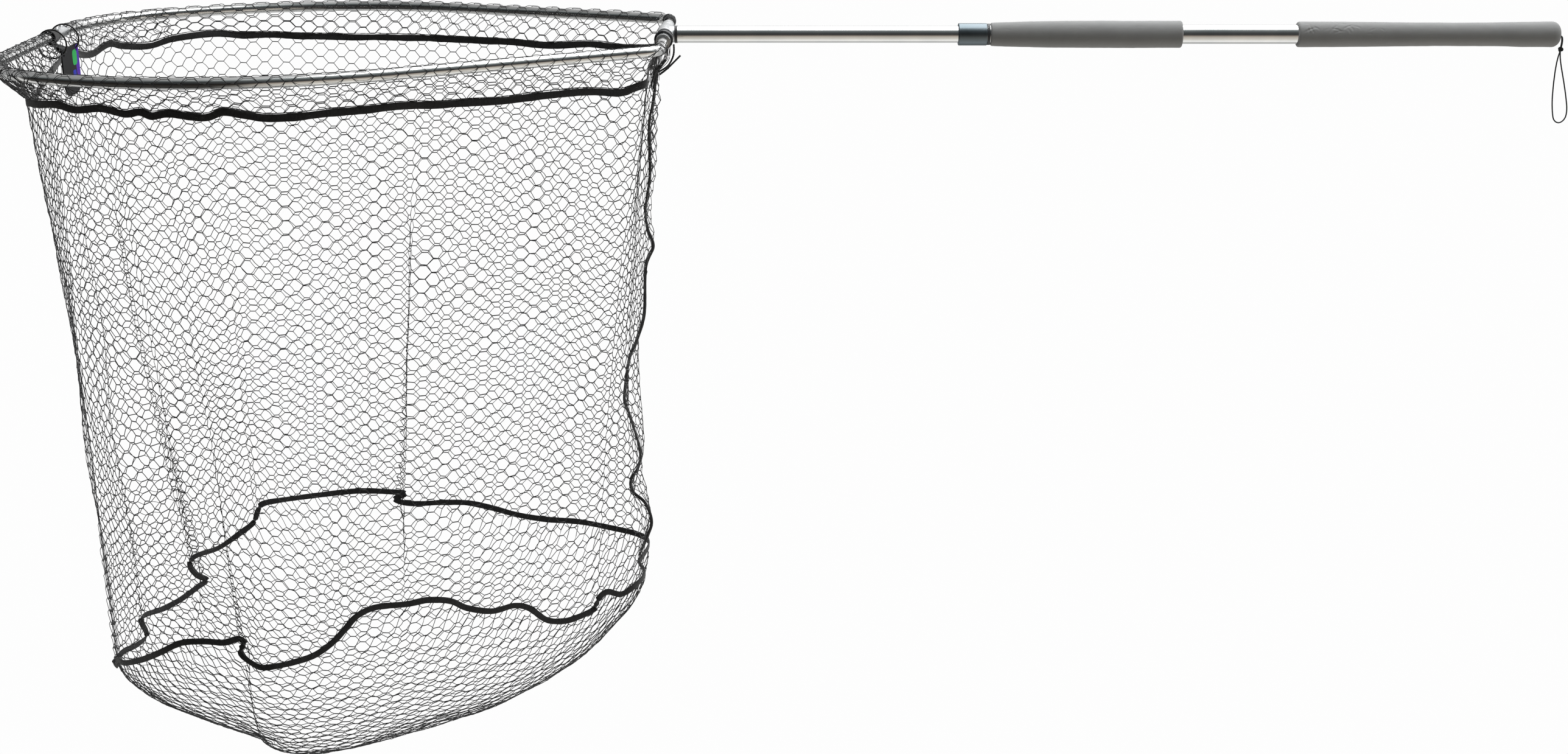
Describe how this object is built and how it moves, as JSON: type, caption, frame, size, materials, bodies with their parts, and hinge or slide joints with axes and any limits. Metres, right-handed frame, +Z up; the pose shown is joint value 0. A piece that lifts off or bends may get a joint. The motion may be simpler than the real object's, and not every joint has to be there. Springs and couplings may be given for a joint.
{
  "type": "landing net",
  "caption": "Long-handled landing net: telescopic twist-lock handle with foam grips, a bent-tube hoop on a cast tee and a deep hexagonal-mesh bag.",
  "frame": {"origin": "on the handle's axis, at the middle of the bare rear tube between the two foam grips", "axes": "+X along the handle towards the butt, +Y across the hoop, +Z up, with the bag hanging towards -Z"},
  "size_m": [2.0699, 0.7017, 1.0599],
  "materials": {
    "polished_tube": "bright polished drawn tube",
    "satin_casting": "satin cast and turned alloy",
    "collar_paint": "smooth satin blue-grey paint",
    "black_rubber": "plain black rubber",
    "grip_foam": "closed-cell foam, matt, faint creases",
    "black_nylon": "moulded nylon",
    "pale_nylon": "natural nylon",
    "steel": "plain steel",
    "net_cord": "charcoal knotless netting",
    "binding_tape": "black woven binding tape",
    "lashing_cord": "waxed dark cord",
    "tag_card": "card with plain colour bands",
    "tie_plastic": "black plastic tie",
    "tag_web": "black webbing",
    "lanyard_cord": "thin braided cord"
  },
  "bodies": {
    "handle": {"rear_tube": "polished_tube", "collar_ferrule": "collar_paint", "collar_seal_ring": "black_rubber", "guide_bush": "pale_nylon", "fore_grip": "grip_foam", "rear_grip": "grip_foam", "butt_plug": "black_nylon", "lanyard_cord": "lanyard_cord", "lanyard_knot": "lanyard_cord"},
    "lock": {"lock_expander": "pale_nylon"},
    "front_section": {"lock_spindle": "black_nylon", "lock_washer": "steel", "lock_screw": "steel", "front_tube": "polished_tube", "adapter_ring": "black_nylon", "spigot_pin": "steel", "tee_casting": "satin_casting", "hoop_end_pins": "steel", "hoop_near_rail": "polished_tube", "hoop_far_rail": "polished_tube", "hoop_joint_sleeve": "satin_casting", "hoop_joint_rivets": "steel", "net_collar": "net_cord", "top_tape": "binding_tape", "net_wall": "net_cord", "base_tape": "binding_tape", "net_base": "net_cord", "seam_tape": "binding_tape", "lashing_wraps": "lashing_cord", "lashing_tie": "lashing_cord", "lashing_tail": "lashing_cord"},
    "tag": {"tag_ties": "tie_plastic", "tag_card": "tag_card", "tag_strap": "tag_web"}
  },
  "joints": [
    {"name": "telescope", "type": "slide", "parent": "handle", "child": "lock", "axis": [1, 0, 0], "range_m": [0, 0.368]},
    {"name": "twist_lock", "type": "hinge", "parent": "lock", "child": "front_section", "pos_m": [-0.25, 0, 0], "axis": [1, 0, 0], "range_deg": [0, 90]},
    {"name": "tag_swing", "type": "hinge", "parent": "front_section", "child": "tag", "pos_m": [-1.60789, 0, -0.01368], "axis": [0, -1, 0], "range_deg": [0, 40]}
  ]
}
